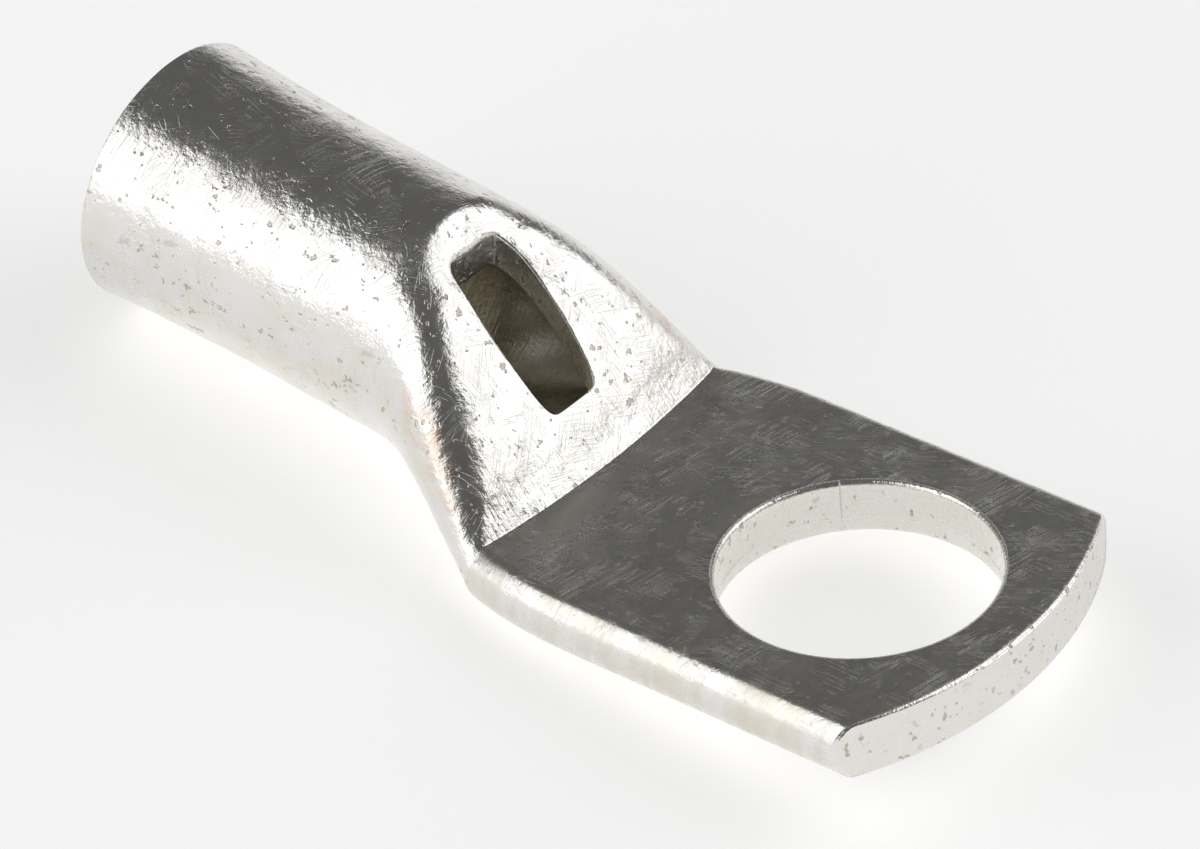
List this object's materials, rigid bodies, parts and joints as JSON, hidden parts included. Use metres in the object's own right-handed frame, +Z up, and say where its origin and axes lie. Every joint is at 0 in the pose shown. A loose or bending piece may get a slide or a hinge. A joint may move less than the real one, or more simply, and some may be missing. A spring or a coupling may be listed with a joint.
{
  "type": "cable lug",
  "caption": "Tinned copper tube cable lug: round crimp barrel, ramp with a punched inspection window, flat palm with a stud hole.",
  "frame": {"origin": "centre of the stud hole on the underside of the palm", "axes": "+X runs parallel to the barrel from its mouth towards the palm; +Z is up as the lug lies on its barrel; the palm is set up by 7 degrees"},
  "size_m": [0.0408, 0.0164, 0.0107],
  "materials": {
    "tinned_copper": "satin tin plate with press marks, scratches and a faint copper blush"
  },
  "bodies": {
    "root": {"lug": "tinned_copper"}
  },
  "joints": []
}
